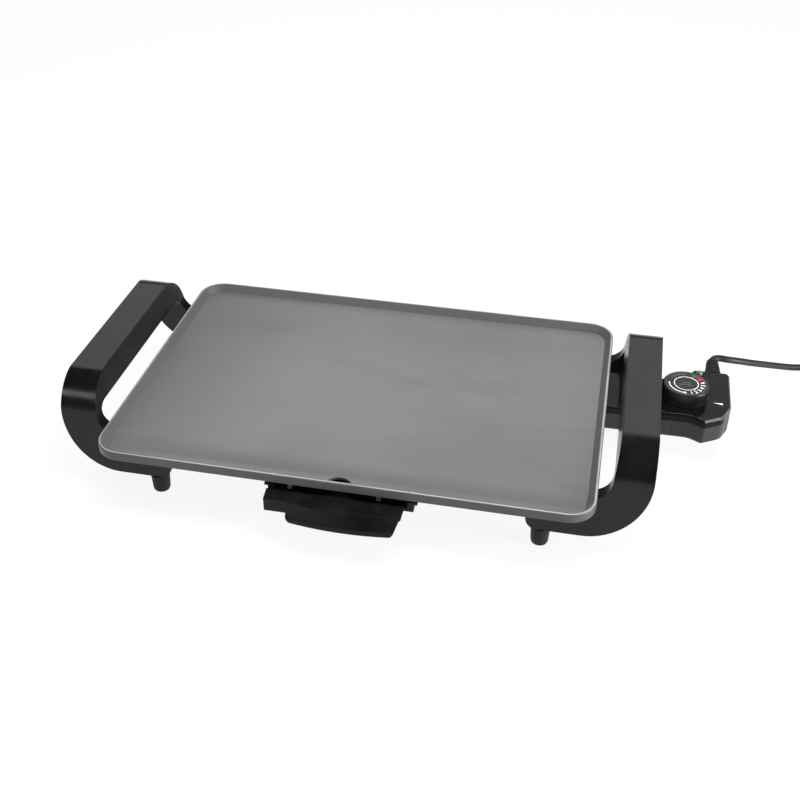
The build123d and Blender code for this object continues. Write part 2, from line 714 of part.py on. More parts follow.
# ------------------------------------------------------------------ temperature control
def control_outline():
    rows = [(NECK_X, NECK_FRONT, 0)]
    rows += [(HEAD_END_X - back, TERMINAL_Y + y, radius) for back, y, radius in HEAD_OUTLINE]
    rows += [(NECK_X, NECK_REAR, 0)]
    return rows


def control_shell():
    face = plan_face(control_outline(), CONTROL_BOTTOM)
    outer = extrude(face, amount=CONTROL_TOP - CONTROL_BOTTOM)
    outer = chamfer(outer.edges().group_by(Axis.Z)[-1], TOP_BEVEL)
    outer = chamfer(outer.edges().group_by(Axis.Z)[0], BOTTOM_EDGE)
    room = offset(face, amount=-CONTROL_WALL, kind=Kind.INTERSECTION)
    height = CEILING_Z - FLOOR_Z
    return outer - Pos(0, 0, CONTROL_WALL) * extrude(room, amount=height)


def control_openings():
    """What is cut through both halves: socket end, spindle, lens and strain relief."""
    half_w = BLOCK_WIDTH / 2
    half_h = BLOCK_HEIGHT / 2
    cut = box_between(
        (NECK_X - 1, TERMINAL_Y - half_w, TERMINAL_Z - half_h),
        (NECK_X + CONTROL_WALL + 1, TERMINAL_Y + half_w, TERMINAL_Z + half_h),
    )
    cut += upright(SPINDLE_DIAMETER / 2 + LOOSE_GAP, DIAL_X, DIAL_Y, CEILING_Z - 1, CONTROL_TOP + 1)
    cut += upright(LENS_DIAMETER / 2, LENS_X, LENS_Y, CEILING_Z - 1, CONTROL_TOP + 1)
    neck = Pos(RELIEF_X, HEAD_REAR_Y, RELIEF_Z) * Rot(90, 0, 0) * Cylinder(RELIEF_NECK / 2, 12)
    return cut + neck


def half_space(z_low, z_high):
    return box_between((NECK_X - 50, -200, z_low), (HEAD_END_X + 50, 300, z_high))


def control_top_housing():
    shell = control_shell() & half_space(CONTROL_SPLIT, CONTROL_TOP + 1)
    for x, y in housing_screw_places():
        shell += upright(POST_DIAMETER / 2, x, y, CONTROL_SPLIT, CEILING_Z + 0.5)
    shell -= control_openings()
    for x, y in housing_screw_places():
        shell -= upright(HOUSING_SCREW / 2, x, y, CONTROL_SPLIT - 1, CEILING_Z - 0.5)
    return shell


def control_bottom_housing():
    shell = control_shell() & half_space(CONTROL_BOTTOM - 1, CONTROL_SPLIT)
    for x, y in housing_screw_places():
        shell += upright(POST_DIAMETER / 2, x, y, FLOOR_Z - 0.5, CONTROL_SPLIT)
    shell -= control_openings()
    for number in range(GRIP_GROOVES):
        x = DIAL_X - GROOVES_FROM_DIAL + number * GROOVE_PITCH
        y = NECK_FRONT + GROOVE_DEEP - GROOVE_RADIUS / 2
        shell -= upright(GROOVE_RADIUS, x, y, CONTROL_BOTTOM + 5, CONTROL_SPLIT - 4)
    for x, y in housing_screw_places():
        shell -= upright(HOUSING_SCREW / 2, x, y, CONTROL_BOTTOM - 1, CONTROL_SPLIT + 1)
        shell -= upright(HOUSING_SCREW_HEAD / 2, x, y, CONTROL_BOTTOM - 1, CONTROL_BOTTOM + HOUSING_SCREW_SINK)
    return shell


def housing_screws():
    seat = CONTROL_BOTTOM + HOUSING_SCREW_SINK
    tip = CEILING_Z - 0.5
    screws = []
    for x, y in housing_screw_places():
        screws.append(pan_screw(x, y, seat, tip, HOUSING_SCREW, HOUSING_SCREW_HEAD))
    return Compound(children=screws)


def receptacle_block():
    """The heat-resistant block that plugs over the pins and carries the probe."""
    half_w = BLOCK_WIDTH / 2
    half_h = BLOCK_HEIGHT / 2
    body = box_between(
        (BLOCK_X, TERMINAL_Y - half_w, TERMINAL_Z - half_h),
        (BLOCK_END_X, TERMINAL_Y + half_w, TERMINAL_Z + half_h),
    )
    front_edges = body.edges().filter_by(Axis.X)
    body = fillet(front_edges, 1.5)
    sleeve = PIN_DIAMETER / 2 + CLEARANCE + CONTACT_WALL
    for y in PIN_Y:
        body -= lengthwise(PIN_DIAMETER / 2 + LOOSE_GAP, BLOCK_X - 1, BLOCK_END_X, y, TERMINAL_Z)
        body -= lengthwise(sleeve, BLOCK_X + 2, BLOCK_END_X + 1, y, TERMINAL_Z)
    body -= lengthwise(PROBE_DIAMETER / 2, BLOCK_X - 1, BLOCK_END_X + 1, TERMINAL_Y, TERMINAL_Z)
    return body


def receptacle_contacts():
    """Split spring sleeves that grip the pins."""
    sleeves = []
    bore = PIN_DIAMETER / 2 + CLEARANCE
    start = BLOCK_X + 2
    for y in PIN_Y:
        sleeve = lengthwise(bore + CONTACT_WALL, start, start + CONTACT_LENGTH, y, TERMINAL_Z)
        sleeve -= lengthwise(bore, start - 1, start + CONTACT_LENGTH - 6, y, TERMINAL_Z)
        slit_low = (start - 1, y - 0.4, TERMINAL_Z)
        sleeve -= box_between(slit_low, (start + 22, y + 0.4, TERMINAL_Z + 10))
        sleeves.append(sleeve)
    return Compound(children=sleeves)


def probe_tube():
    end = BLOCK_END_X + 6
    start = end - PROBE_LENGTH
    tube = lengthwise(PROBE_DIAMETER / 2, start, end, TERMINAL_Y, TERMINAL_Z)
    tube = fillet(tube.edges().sort_by(Axis.X)[0], PROBE_DIAMETER * 0.4)
    return tube - lengthwise(PROBE_DIAMETER / 2 - PROBE_WALL, start + 2, end + 1, TERMINAL_Y, TERMINAL_Z)


def probe_rod():
    end = BLOCK_END_X + 6
    return lengthwise(ROD_DIAMETER / 2, end - PROBE_LENGTH + 2, STACK_X - 12, TERMINAL_Y, TERMINAL_Z)


def thermostat_frame():
    """A folded bracket: a bridge under the dial, with a foot that carries the leaf stack."""
    x_low = DIAL_X - FRAME_LENGTH / 2
    x_high = DIAL_X + FRAME_LENGTH / 2
    y_low = DIAL_Y - FRAME_WIDTH / 2
    y_high = DIAL_Y + FRAME_WIDTH / 2
    sheet = FRAME_SHEET
    body = box_between((x_low, y_low, FRAME_TOP - sheet), (x_high, y_high, FRAME_TOP))
    for x in (x_low, x_high - sheet):
        body += box_between((x, y_low, FLOOR_Z), (x + sheet, y_high, FRAME_TOP))
    foot_x = STACK_X - STACK_DIAMETER / 2 - 2
    body += box_between((foot_x, y_low, FLOOR_Z), (x_low + sheet, y_high, FLOOR_Z + sheet))
    gap = LEAF_WIDTH / 2 + 1.5
    passage_high = (x_low + sheet + 1, DIAL_Y + gap, MOVING_LEAF_Z + 3.5)
    body -= box_between((x_low - 1, DIAL_Y - gap, FLOOR_Z + sheet), passage_high)
    return body - upright(BUSH_DIAMETER / 2, DIAL_X, DIAL_Y, FRAME_TOP - 10, FRAME_TOP + 1)


def spindle_bush():
    body = upright(BUSH_DIAMETER / 2, DIAL_X, DIAL_Y, FRAME_TOP - 4, FRAME_TOP)
    body += upright(BUSH_FLANGE / 2, DIAL_X, DIAL_Y, FRAME_TOP, FRAME_TOP + 4)
    return body - upright(SPINDLE_DIAMETER / 2 + CLEARANCE, DIAL_X, DIAL_Y, FRAME_TOP - 9, FRAME_TOP + 9)


def leaf(z, length):
    """A flat spring leaf that starts at the stack."""
    half = LEAF_WIDTH / 2
    low = (STACK_X - STACK_DIAMETER / 2, DIAL_Y - half, z)
    body = box_between(low, (STACK_X + length, DIAL_Y + half, z + LEAF_SHEET))
    return body - upright(2.6, STACK_X, DIAL_Y, z - 1, z + 2)


def fixed_contact_leaf():
    body = leaf(FIXED_LEAF_Z, LEAF_LENGTH - 8)
    top = FIXED_LEAF_Z + LEAF_SHEET
    return body + upright(2.2, STACK_X + LEAF_LENGTH - 13, DIAL_Y, top, top + LEAF_GAP / 2 - CLEARANCE / 2)


def moving_contact_leaf():
    """Rises on its own to open the contact, so it has room above and below where it is held."""
    body = leaf(MOVING_LEAF_Z, LEAF_LENGTH)
    low = MOVING_LEAF_Z - LEAF_GAP / 2 + CLEARANCE / 2
    return body + upright(2.2, STACK_X + LEAF_LENGTH - 13, DIAL_Y, low, MOVING_LEAF_Z)


def leaf_insulators():
    washer = STACK_DIAMETER / 2
    base = FLOOR_Z + FRAME_SHEET
    levels = [
        (base, FIXED_LEAF_Z),
        (FIXED_LEAF_Z + LEAF_SHEET, MOVING_LEAF_Z - CLEARANCE),
        (MOVING_LEAF_Z + LEAF_SHEET + CLEARANCE, MOVING_LEAF_Z + LEAF_SHEET + CLEARANCE + 2.4),
    ]
    rings = []
    for low, high in levels:
        ring = upright(washer, STACK_X, DIAL_Y, low, high)
        rings.append(ring - upright(1.6, STACK_X, DIAL_Y, low - 1, high + 1))
    return Compound(children=rings)


def stack_screw():
    top = MOVING_LEAF_Z + LEAF_SHEET + CLEARANCE + 2.4
    head = upright(3.2, STACK_X, DIAL_Y, top, top + 1.8)
    return head + upright(1.6, STACK_X, DIAL_Y, FLOOR_Z + FRAME_SHEET, top)


def lead_wire(points, bend):
    return swept_bar(points, bend, LEAD_DIAMETER)


def neutral_lead():
    """From the strain relief to the rear pin's contact."""
    contact_end = BLOCK_X + 2 + CONTACT_LENGTH
    y_lane = DIAL_Y + FRAME_WIDTH / 2 + 5
    x = RELIEF_X - 2
    low_z = RELIEF_Z - 4
    return lead_wire([
        (x, INNER_REAR_Y - RELIEF_SHEET, low_z),
        (x, y_lane, low_z),
        (BLOCK_END_X + 28, y_lane, low_z),
        (BLOCK_END_X + 12, PIN_Y[1], TERMINAL_Z),
        (contact_end, PIN_Y[1], TERMINAL_Z),
    ], 4)


def live_lead():
    """From the front pin's contact to the fixed leaf at the stack."""
    contact_end = BLOCK_X + 2 + CONTACT_LENGTH
    low_z = FIXED_LEAF_Z + LEAF_SHEET / 2
    tail_x = STACK_X - STACK_DIAMETER / 2
    return lead_wire([
        (contact_end, PIN_Y[0], TERMINAL_Z),
        (BLOCK_END_X + 8, PIN_Y[0], TERMINAL_Z),
        (tail_x - 14, DIAL_Y - 2, low_z),
        (tail_x, DIAL_Y - 2, low_z),
    ], 4)


def pilot_lamp():
    top = CEILING_Z - 1.5
    return upright(LAMP_DIAMETER / 2, LENS_X, LENS_Y - 1, top - LAMP_LENGTH, top)


def lamp_lens():
    body = upright(LENS_DIAMETER / 2, LENS_X, LENS_Y, CEILING_Z, CONTROL_TOP + LENS_PROUD)
    return fillet(body.edges().group_by(Axis.Z)[-1], LENS_DIAMETER * 0.4)


# ------------------------------------------------------------------ dial
def dial():
    low = CONTROL_TOP + DIAL_GAP
    body = upright(DIAL_RADIUS, DIAL_X, DIAL_Y, low, DIAL_TOP)
    body = fillet(body.edges().group_by(Axis.Z)[-1], 1.6)
    for number in range(KNURL_COUNT):
        angle = 2 * pi * number / KNURL_COUNT
        x = DIAL_X + DIAL_RADIUS * cos(angle)
        y = DIAL_Y + DIAL_RADIUS * sin(angle)
        body -= upright(KNURL_RADIUS, x, y, low + DIAL_SKIRT, DIAL_TOP - 3.5)
    body += upright(DIAL_RADIUS + 1, DIAL_X, DIAL_Y, low, low + DIAL_SKIRT)
    room = upright(DIAL_RADIUS - DIAL_WALL, DIAL_X, DIAL_Y, low - 1, DIAL_TOP - DIAL_WALL)
    room -= upright(SPINDLE_DIAMETER / 2 + DIAL_WALL, DIAL_X, DIAL_Y, low - 2, DIAL_TOP)
    body -= room
    return body - spindle_bar(DIAL_TOP - DIAL_WALL - 2)


def spindle_bar(top):
    """A round bar with a flat on its upper end."""
    bar = upright(SPINDLE_DIAMETER / 2, DIAL_X, DIAL_Y, SPINDLE_BOTTOM + CLEARANCE, top)
    flat = SPINDLE_DIAMETER / 2 - 1
    low = (DIAL_X + flat, DIAL_Y - 5, CONTROL_TOP + DIAL_GAP)
    return bar - box_between(low, (DIAL_X + 10, DIAL_Y + 5, DIAL_TOP))


def dial_spindle():
    return spindle_bar(DIAL_TOP - DIAL_WALL - 2)


# ------------------------------------------------------------------ cord and plug
def strain_relief():
    """A ribbed, tapered sleeve held in the rear wall by its inner flange."""
    tip_y = CORD_ROUTE[0][1]
    root = RELIEF_ROOT / 2
    step = (tip_y - HEAD_REAR_Y) / (RELIEF_GROOVES * 2)
    outline = [
        (0, INNER_REAR_Y - RELIEF_SHEET),
        (RELIEF_FLANGE / 2, INNER_REAR_Y - RELIEF_SHEET),
        (RELIEF_FLANGE / 2, INNER_REAR_Y),
        (RELIEF_NECK / 2, INNER_REAR_Y),
        (RELIEF_NECK / 2, HEAD_REAR_Y),
    ]
    for number in range(RELIEF_GROOVES):
        radius = root - (root - RELIEF_TIP / 2) * number / RELIEF_GROOVES
        low = radius - RELIEF_GROOVE_DEPTH
        y = HEAD_REAR_Y + number * 2 * step
        outline += [(radius, y), (radius, y + step), (low, y + step), (low, y + 2 * step)]
    outline[-1] = (low, tip_y - step / 2)
    outline += [(RELIEF_TIP / 2, tip_y - step / 2), (RELIEF_TIP / 2, tip_y), (0, tip_y)]
    face = make_face(Polyline(*outline, close=True))
    body = revolve(face, axis=Axis.Y)
    return Pos(RELIEF_X, 0, RELIEF_Z) * body


def route_radii(points):
    """Each arc is 0.45 of its shorter run, divided by the tangent of half the turn."""
    radii = []
    for before, here, after in zip(points, points[1:], points[2:]):
        run_in = Vector(*here) - Vector(*before)
        run_out = Vector(*after) - Vector(*here)
        turn = radians(run_in.get_angle(run_out))
        radii.append(0.45 * min(run_in.length, run_out.length) / tan(turn / 2))
    return radii


def power_cord():
    radii = route_radii(CORD_ROUTE)
    print("cord arc radii:", [round(radius, 1) for radius in radii])
    cord = swept_bar(CORD_ROUTE, radii, CORD_DIAMETER)
    length = FilletPolyline(*CORD_ROUTE, radius=radii).length
    section = pi * CORD_DIAMETER ** 2 / 4
    print("cord tube length:", round(length, 1), "volume ratio:", round(cord.volume / (section * length), 4))
    coil = 2 * pi * (COIL_START_RADIUS + COIL_INNER + CORD_DIAMETER / 2) / 2 * COIL_TURNS
    print("cord length with coil and stubs:", round(length + coil + 2 * PLUG_GAP))
    return cord


def cord_coil():
    """The outer shape of the put-away turns, with a straight piece where each end comes in."""
    cx, cy = COIL_CENTRE
    ring = upright(COIL_OUTER, cx, cy, 0, COIL_HEIGHT) - upright(COIL_INNER, cx, cy, -1, COIL_HEIGHT + 1)
    ring = fillet(ring.edges(), 3)
    end_x, end_y, end_z = CORD_ROUTE[-1]
    radius = CORD_DIAMETER / 2
    ring += lengthwise(radius, end_x, cx, end_y, end_z)
    exit_bar = Pos(cx + COIL_END_RADIUS, cy - PLUG_GAP / 2, end_z) * Rot(90, 0, 0)
    return ring + exit_bar * Cylinder(radius, PLUG_GAP)


def plug_place():
    """Middle of the plug's rear end; the plug points towards -Y, lying on the table."""
    return COIL_CENTRE[0] + COIL_END_RADIUS, COIL_CENTRE[1] - PLUG_GAP, CORD_ROUTE[-1][2]


def plug_body():
    x, y, z = plug_place()
    front_z = PLUG_HEIGHT / 2
    rear_w = PLUG_WIDTH * PLUG_TAPER
    rear_h = 2 * z
    rear = Plane(origin=(x, y, z), x_dir=(1, 0, 0), z_dir=(0, -1, 0))
    waist = Plane(origin=(x, y - PLUG_LENGTH * 0.45, z + 2.4), x_dir=(1, 0, 0), z_dir=(0, -1, 0))
    front = Plane(origin=(x, y - PLUG_LENGTH, front_z), x_dir=(1, 0, 0), z_dir=(0, -1, 0))
    sections = [
        rear * RectangleRounded(rear_w, rear_h, rear_h * 0.45),
        waist * RectangleRounded(PLUG_WIDTH * 0.72, 2 * (z + 2.4), 5),
        front * RectangleRounded(PLUG_WIDTH, PLUG_HEIGHT, 6),
    ]
    return loft(sections, ruled=True)


def plug_pins():
    """Two flat blades and a round earth pin."""
    x, y, z = plug_place()
    face_y = y - PLUG_LENGTH
    mid = PLUG_HEIGHT / 2
    pins = []
    for side in (-1, 1):
        px = x + side * BLADE_SPACING / 2
        low = (px - BLADE_SHEET / 2, face_y - BLADE_LENGTH, mid - 2 - BLADE_WIDTH / 2)
        pins.append(box_between(low, (px + BLADE_SHEET / 2, face_y, mid - 2 + BLADE_WIDTH / 2)))
    earth = Rot(90, 0, 0) * Cylinder(EARTH_PIN / 2, BLADE_LENGTH + 2)
    pins.append(Pos(x, face_y - (BLADE_LENGTH + 2) / 2, mid + 7) * earth)
    return Compound(children=pins)


def pieces():
    handle = right_handle()
    return {
        "griddle_plate": griddle_plate(),
        "heating_element": heating_element(),
        "terminal_insulators": terminal_insulators(),
        "terminal_pins": terminal_pins(),
        "terminal_guard": terminal_guard(),
        "guard_screws": guard_screws(),
        "right_handle": handle,
        "left_handle": mirror(handle, about=Plane.YZ),
        "handle_screws": handle_screws(),
        "rubber_feet": rubber_feet(),
        "drip_tray": drip_tray(),
        "left_tray_rail": tray_rail(-1),
        "right_tray_rail": tray_rail(1),
        "rail_screws": rail_screws(),
        "control_top_housing": control_top_housing(),
        "control_bottom_housing": control_bottom_housing(),
        "housing_screws": housing_screws(),
        "receptacle_block": receptacle_block(),
        "receptacle_contacts": receptacle_contacts(),
        "probe_tube": probe_tube(),
        "probe_rod": probe_rod(),
        "thermostat_frame": thermostat_frame(),
        "spindle_bush": spindle_bush(),
        "fixed_contact_leaf": fixed_contact_leaf(),
        "moving_contact_leaf": moving_contact_leaf(),
        "leaf_insulators": leaf_insulators(),
        "stack_screw": stack_screw(),
        "neutral_lead": neutral_lead(),
        "live_lead": live_lead(),
        "pilot_lamp": pilot_lamp(),
        "lamp_lens": lamp_lens(),
        "dial": dial(),
        "dial_spindle": dial_spindle(),
        "strain_relief": strain_relief(),
        "power_cord": power_cord(),
        "cord_coil": cord_coil(),
        "plug_body": plug_body(),
        "plug_pins": plug_pins(),
    }


CORD_PIECES = ("strain_relief", "power_cord", "cord_coil", "plug_body", "plug_pins")


def main():
    os.makedirs("parts", exist_ok=True)
    made = pieces()
    own = [shape.bounding_box() for name, shape in made.items() if name not in CORD_PIECES]
    middle_x = (min(box.min.X for box in own) + max(box.max.X for box in own)) / 2
    middle_y = (min(box.min.Y for box in own) + max(box.max.Y for box in own)) / 2
    print("shift:", round(-middle_x, 4), round(-middle_y, 4))
    for name, shape in made.items():
        export_step(Pos(-middle_x, -middle_y, 0) * shape, "parts/" + name + ".step")


main()
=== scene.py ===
import bmesh
import bpy
from math import cos, pi, radians, sin
from mathutils import Matrix, Vector


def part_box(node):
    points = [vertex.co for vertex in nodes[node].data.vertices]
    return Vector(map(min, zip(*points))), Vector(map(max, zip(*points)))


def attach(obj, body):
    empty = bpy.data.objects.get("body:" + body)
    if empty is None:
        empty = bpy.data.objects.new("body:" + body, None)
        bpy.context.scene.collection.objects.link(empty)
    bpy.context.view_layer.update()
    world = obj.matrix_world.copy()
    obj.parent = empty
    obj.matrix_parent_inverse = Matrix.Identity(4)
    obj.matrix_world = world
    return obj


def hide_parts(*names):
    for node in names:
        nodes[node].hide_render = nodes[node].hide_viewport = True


# Electric griddle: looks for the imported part. Metres, same frame as the part.

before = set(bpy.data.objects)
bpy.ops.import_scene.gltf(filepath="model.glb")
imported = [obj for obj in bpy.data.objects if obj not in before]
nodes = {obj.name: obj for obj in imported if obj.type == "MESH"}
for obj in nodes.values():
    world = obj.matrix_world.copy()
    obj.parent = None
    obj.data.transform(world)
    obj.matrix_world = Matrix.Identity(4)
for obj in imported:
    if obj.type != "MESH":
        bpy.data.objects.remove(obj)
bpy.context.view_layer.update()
plateLow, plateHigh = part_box("griddle_plate")
plateMiddle = Vector(((plateLow.x + plateHigh.x) / 2, (plateLow.y + plateHigh.y) / 2, 0))
dialLow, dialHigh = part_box("dial")
dialMiddle = (dialLow + dialHigh) / 2
print("frame loaded,", len(nodes), "nodes")


def fromPlate(x, y, z):
    return Vector((x, y, z)) + plateMiddle


camera = {
    "place": (0.2331, -1.0091, 0.7814),   # from the middle of the plate
    "yaw": 11.36,
    "pitch": 35.09,
    "roll": 0.47,
    "lens": 51.03,
    "sensor": 36.0,
}


def makeCamera(look):
    data = bpy.data.cameras.new("camera")
    data.lens = look["lens"]
    data.sensor_width = look["sensor"]
    data.clip_start, data.clip_end = 0.01, 50
    shot = bpy.data.objects.new("camera", data)
    bpy.context.scene.collection.objects.link(shot)
    turn = Matrix.Rotation(radians(look["yaw"]), 4, "Z")
    tilt = Matrix.Rotation(radians(90 - look["pitch"]), 4, "X")
    roll = Matrix.Rotation(radians(look["roll"]), 4, "Z")
    shot.matrix_world = Matrix.Translation(fromPlate(*look["place"])) @ turn @ tilt @ roll
    bpy.context.scene.camera = shot


makeCamera(camera)
print("camera placed")


def newMaterial(name):
    made = bpy.data.materials.new(name)
    made.use_nodes = True
    tree = made.node_tree
    return made, tree, tree.nodes["Principled BSDF"]


def addNode(tree, kind, **settings):
    node = tree.nodes.new("ShaderNode" + kind)
    for key, value in settings.items():
        if hasattr(node, key):
            setattr(node, key, value)
        else:
            node.inputs[key].default_value = value
    return node


def objectCoordinates(tree, scale=(1, 1, 1)):
    where = addNode(tree, "TexCoord")
    mapping = addNode(tree, "Mapping")
    mapping.inputs["Scale"].default_value = scale
    tree.links.new(where.outputs["Object"], mapping.inputs["Vector"])
    return mapping.outputs["Vector"]


def noiseAt(tree, coordinates, scale, detail=3.0, rough=0.5):
    noise = addNode(tree, "TexNoise")
    noise.inputs["Scale"].default_value = scale
    noise.inputs["Detail"].default_value = detail
    noise.inputs["Roughness"].default_value = rough
    tree.links.new(coordinates, noise.inputs["Vector"])
    return noise.outputs["Fac"]


def ramp(tree, value, stops):
    node = addNode(tree, "ValToRGB")
    points = node.color_ramp.elements
    while len(points) < len(stops):
        points.new(0.5)
    for point, (place, colour) in zip(points, stops):
        point.position = place
        point.color = (*colour, 1)
    tree.links.new(value, node.inputs["Fac"])
    return node.outputs["Color"]


def mathNode(tree, operation, a, b=None):
    node = addNode(tree, "Math", operation=operation)
    for socket, value in zip(node.inputs, (a, b)):
        if value is None:
            continue
        if isinstance(value, (int, float)):
            socket.default_value = value
        else:
            tree.links.new(value, socket)
    return node.outputs["Value"]


def rangeNode(tree, value, fromLow, fromHigh, toLow, toHigh):
    node = addNode(tree, "MapRange", interpolation_type="SMOOTHSTEP")
    ends = {"From Min": fromLow, "From Max": fromHigh, "To Min": toLow, "To Max": toHigh}
    for key, number in ends.items():
        node.inputs[key].default_value = number
    tree.links.new(value, node.inputs["Value"])
    return node.outputs["Result"]


def mixColours(tree, share, a, b):
    node = addNode(tree, "Mix", data_type="RGBA")
    for socket, value in ((node.inputs[0], share), (node.inputs[6], a), (node.inputs[7], b)):
        if isinstance(value, (int, float)):
            socket.default_value = value
        elif isinstance(value, tuple):
            socket.default_value = (*value, 1)
        else:
            tree.links.new(value, socket)
    return node.outputs[2]


def addBump(tree, shader, height, distance, strength):
    bump = addNode(tree, "Bump")
    bump.inputs["Distance"].default_value = distance
    bump.inputs["Strength"].default_value = strength
    tree.links.new(height, bump.inputs["Height"])
    tree.links.new(bump.outputs["Normal"], shader.inputs["Normal"])


def moulded(name, look):
    made, tree, shader = newMaterial(name)
    where = objectCoordinates(tree)
    cloud = noiseAt(tree, where, look["cloudScale"], 4, 0.55)
    grain = noiseAt(tree, where, look["grainScale"], 2, 0.6)
    shade = ramp(tree, cloud, [(0.35, look["dark"]), (0.65, look["light"])])
    tree.links.new(shade, shader.inputs["Base Color"])
    low, high = look["roughness"]
    tree.links.new(rangeNode(tree, cloud, 0.3, 0.7, low, high), shader.inputs["Roughness"])
    shader.inputs["IOR"].default_value = look["ior"]
    shader.inputs["Coat Weight"].default_value = look["coat"]
    shader.inputs["Coat Roughness"].default_value = look["coatRoughness"]
    addBump(tree, shader, grain, look["grainDepth"], look["grainStrength"])
    return made


def brushedMetal(name, look):
    made, tree, shader = newMaterial(name)
    streaks = noiseAt(tree, objectCoordinates(tree, look["stretch"]), look["scale"], 4, 0.65)
    patches = noiseAt(tree, objectCoordinates(tree), look["patchScale"], 3)
    shade = ramp(tree, streaks, [(0.3, look["dark"]), (0.7, look["light"])])
    tint = rangeNode(tree, patches, 0.45, 0.75, 0.0, look["stainShare"])
    tree.links.new(mixColours(tree, tint, shade, look["stain"]), shader.inputs["Base Color"])
    low, high = look["roughness"]
    tree.links.new(rangeNode(tree, streaks, 0.3, 0.7, low, high), shader.inputs["Roughness"])
    shader.inputs["Metallic"].default_value = 1.0
    addBump(tree, shader, streaks, look["grainDepth"], look["grainStrength"])
    return made


# shares say how far a tone takes over; the reaches, the inset and the band are metres in from
# the plate's outline, crestHeight and underFrom are metres down from its top
coatingLook = {
    "tone": (0.205, 0.205, 0.207),
    "warm": (0.213, 0.204, 0.198),
    "dim": (0.178, 0.178, 0.181),
    "speck": (0.20, 0.20, 0.20),
    # painted shade tone for the rim's slopes and the plate's sides
    "under": (0.055, 0.055, 0.056),
    "slope": (0.075, 0.075, 0.076),
    # painted shade tone for the plate's outline, left end and front band; the random streaks take it too
    "shadeAndStreakTone": (0.088, 0.088, 0.091),
    # painted highlight tone for the rim's crest
    "crestHighlightTone": (0.40, 0.39, 0.38),
    "warmShare": 0.6,
    "speckShare": 0.18,
    "streakShare": 0.35,
    "slopeShare": 0.8,
    "leftShadeShare": 0.72,
    "edgeShadeShare": 0.9,
    "leftShadeReach": 0.17,
    "edgeShadeReach": (0.008, 0.115),
    "bandRise": (0.0185, 0.0235),
    "bandFall": (0.0255, 0.046),
    "corner": 0.028,
    "crestInset": 0.0016,
    "crestWidth": 0.0012,
    "crestHeight": 0.0012,
    "underFrom": (0.014, 0.0105),
    "patchScale": 9.0,
    "driftScale": 3.15,
    "grainScale": 900.0,
    "fineScale": 225.0,
    "streakScale": 5.0,
    "streakStretch": (1.0, 4.5, 1.0),
    "roughness": (0.36, 0.5),
    "metallic": 0.15,
    "ior": 1.45,
    "grainDepth": 0.00012,
    "grainStrength": 0.35,
}


def pastSquared(tree, offset, limit):
    past = mathNode(tree, "SUBTRACT", mathNode(tree, "ABSOLUTE", offset), limit)
    past = mathNode(tree, "MAXIMUM", past, 0.0)
    return mathNode(tree, "MULTIPLY", past, past)


# how far in from the plate's rounded outline
def insetFromOutline(tree, offX, offY, halfX, halfY, corner):
    pastX = pastSquared(tree, offX, halfX - corner)
    pastY = pastSquared(tree, offY, halfY - corner)
    past = mathNode(tree, "SQRT", mathNode(tree, "ADD", pastX, pastY))
    return mathNode(tree, "SUBTRACT", corner, past)


# painted shade: a darker band along the front of the cooking surface, on the ramp down to the gutter
def frontShadeBand(tree, look, fromFront, drift):
    rise = rangeNode(tree, fromFront, *look["bandRise"], 0.0, 1.0)
    fall = rangeNode(tree, fromFront, *look["bandFall"], 1.0, 0.0)
    band = mathNode(tree, "MULTIPLY", rise, fall)
    return mathNode(tree, "MULTIPLY", band, rangeNode(tree, drift, 0.25, 0.6, 0.7, 1.0))


# painted highlight along the rim's top, broken up in patches
def crestHighlightShare(tree, look, inset, height, patches):
    away = mathNode(tree, "ABSOLUTE", mathNode(tree, "SUBTRACT", inset, look["crestInset"]))
    crest = rangeNode(tree, away, 0.0, look["crestWidth"], 1.0, 0.0)
    top = rangeNode(tree, height, plateHigh.z - look["crestHeight"], plateHigh.z, 0.0, 1.0)
    crest = mathNode(tree, "MULTIPLY", crest, top)
    return mathNode(tree, "MULTIPLY", crest, rangeNode(tree, patches, 0.3, 0.6, 0.35, 0.9))


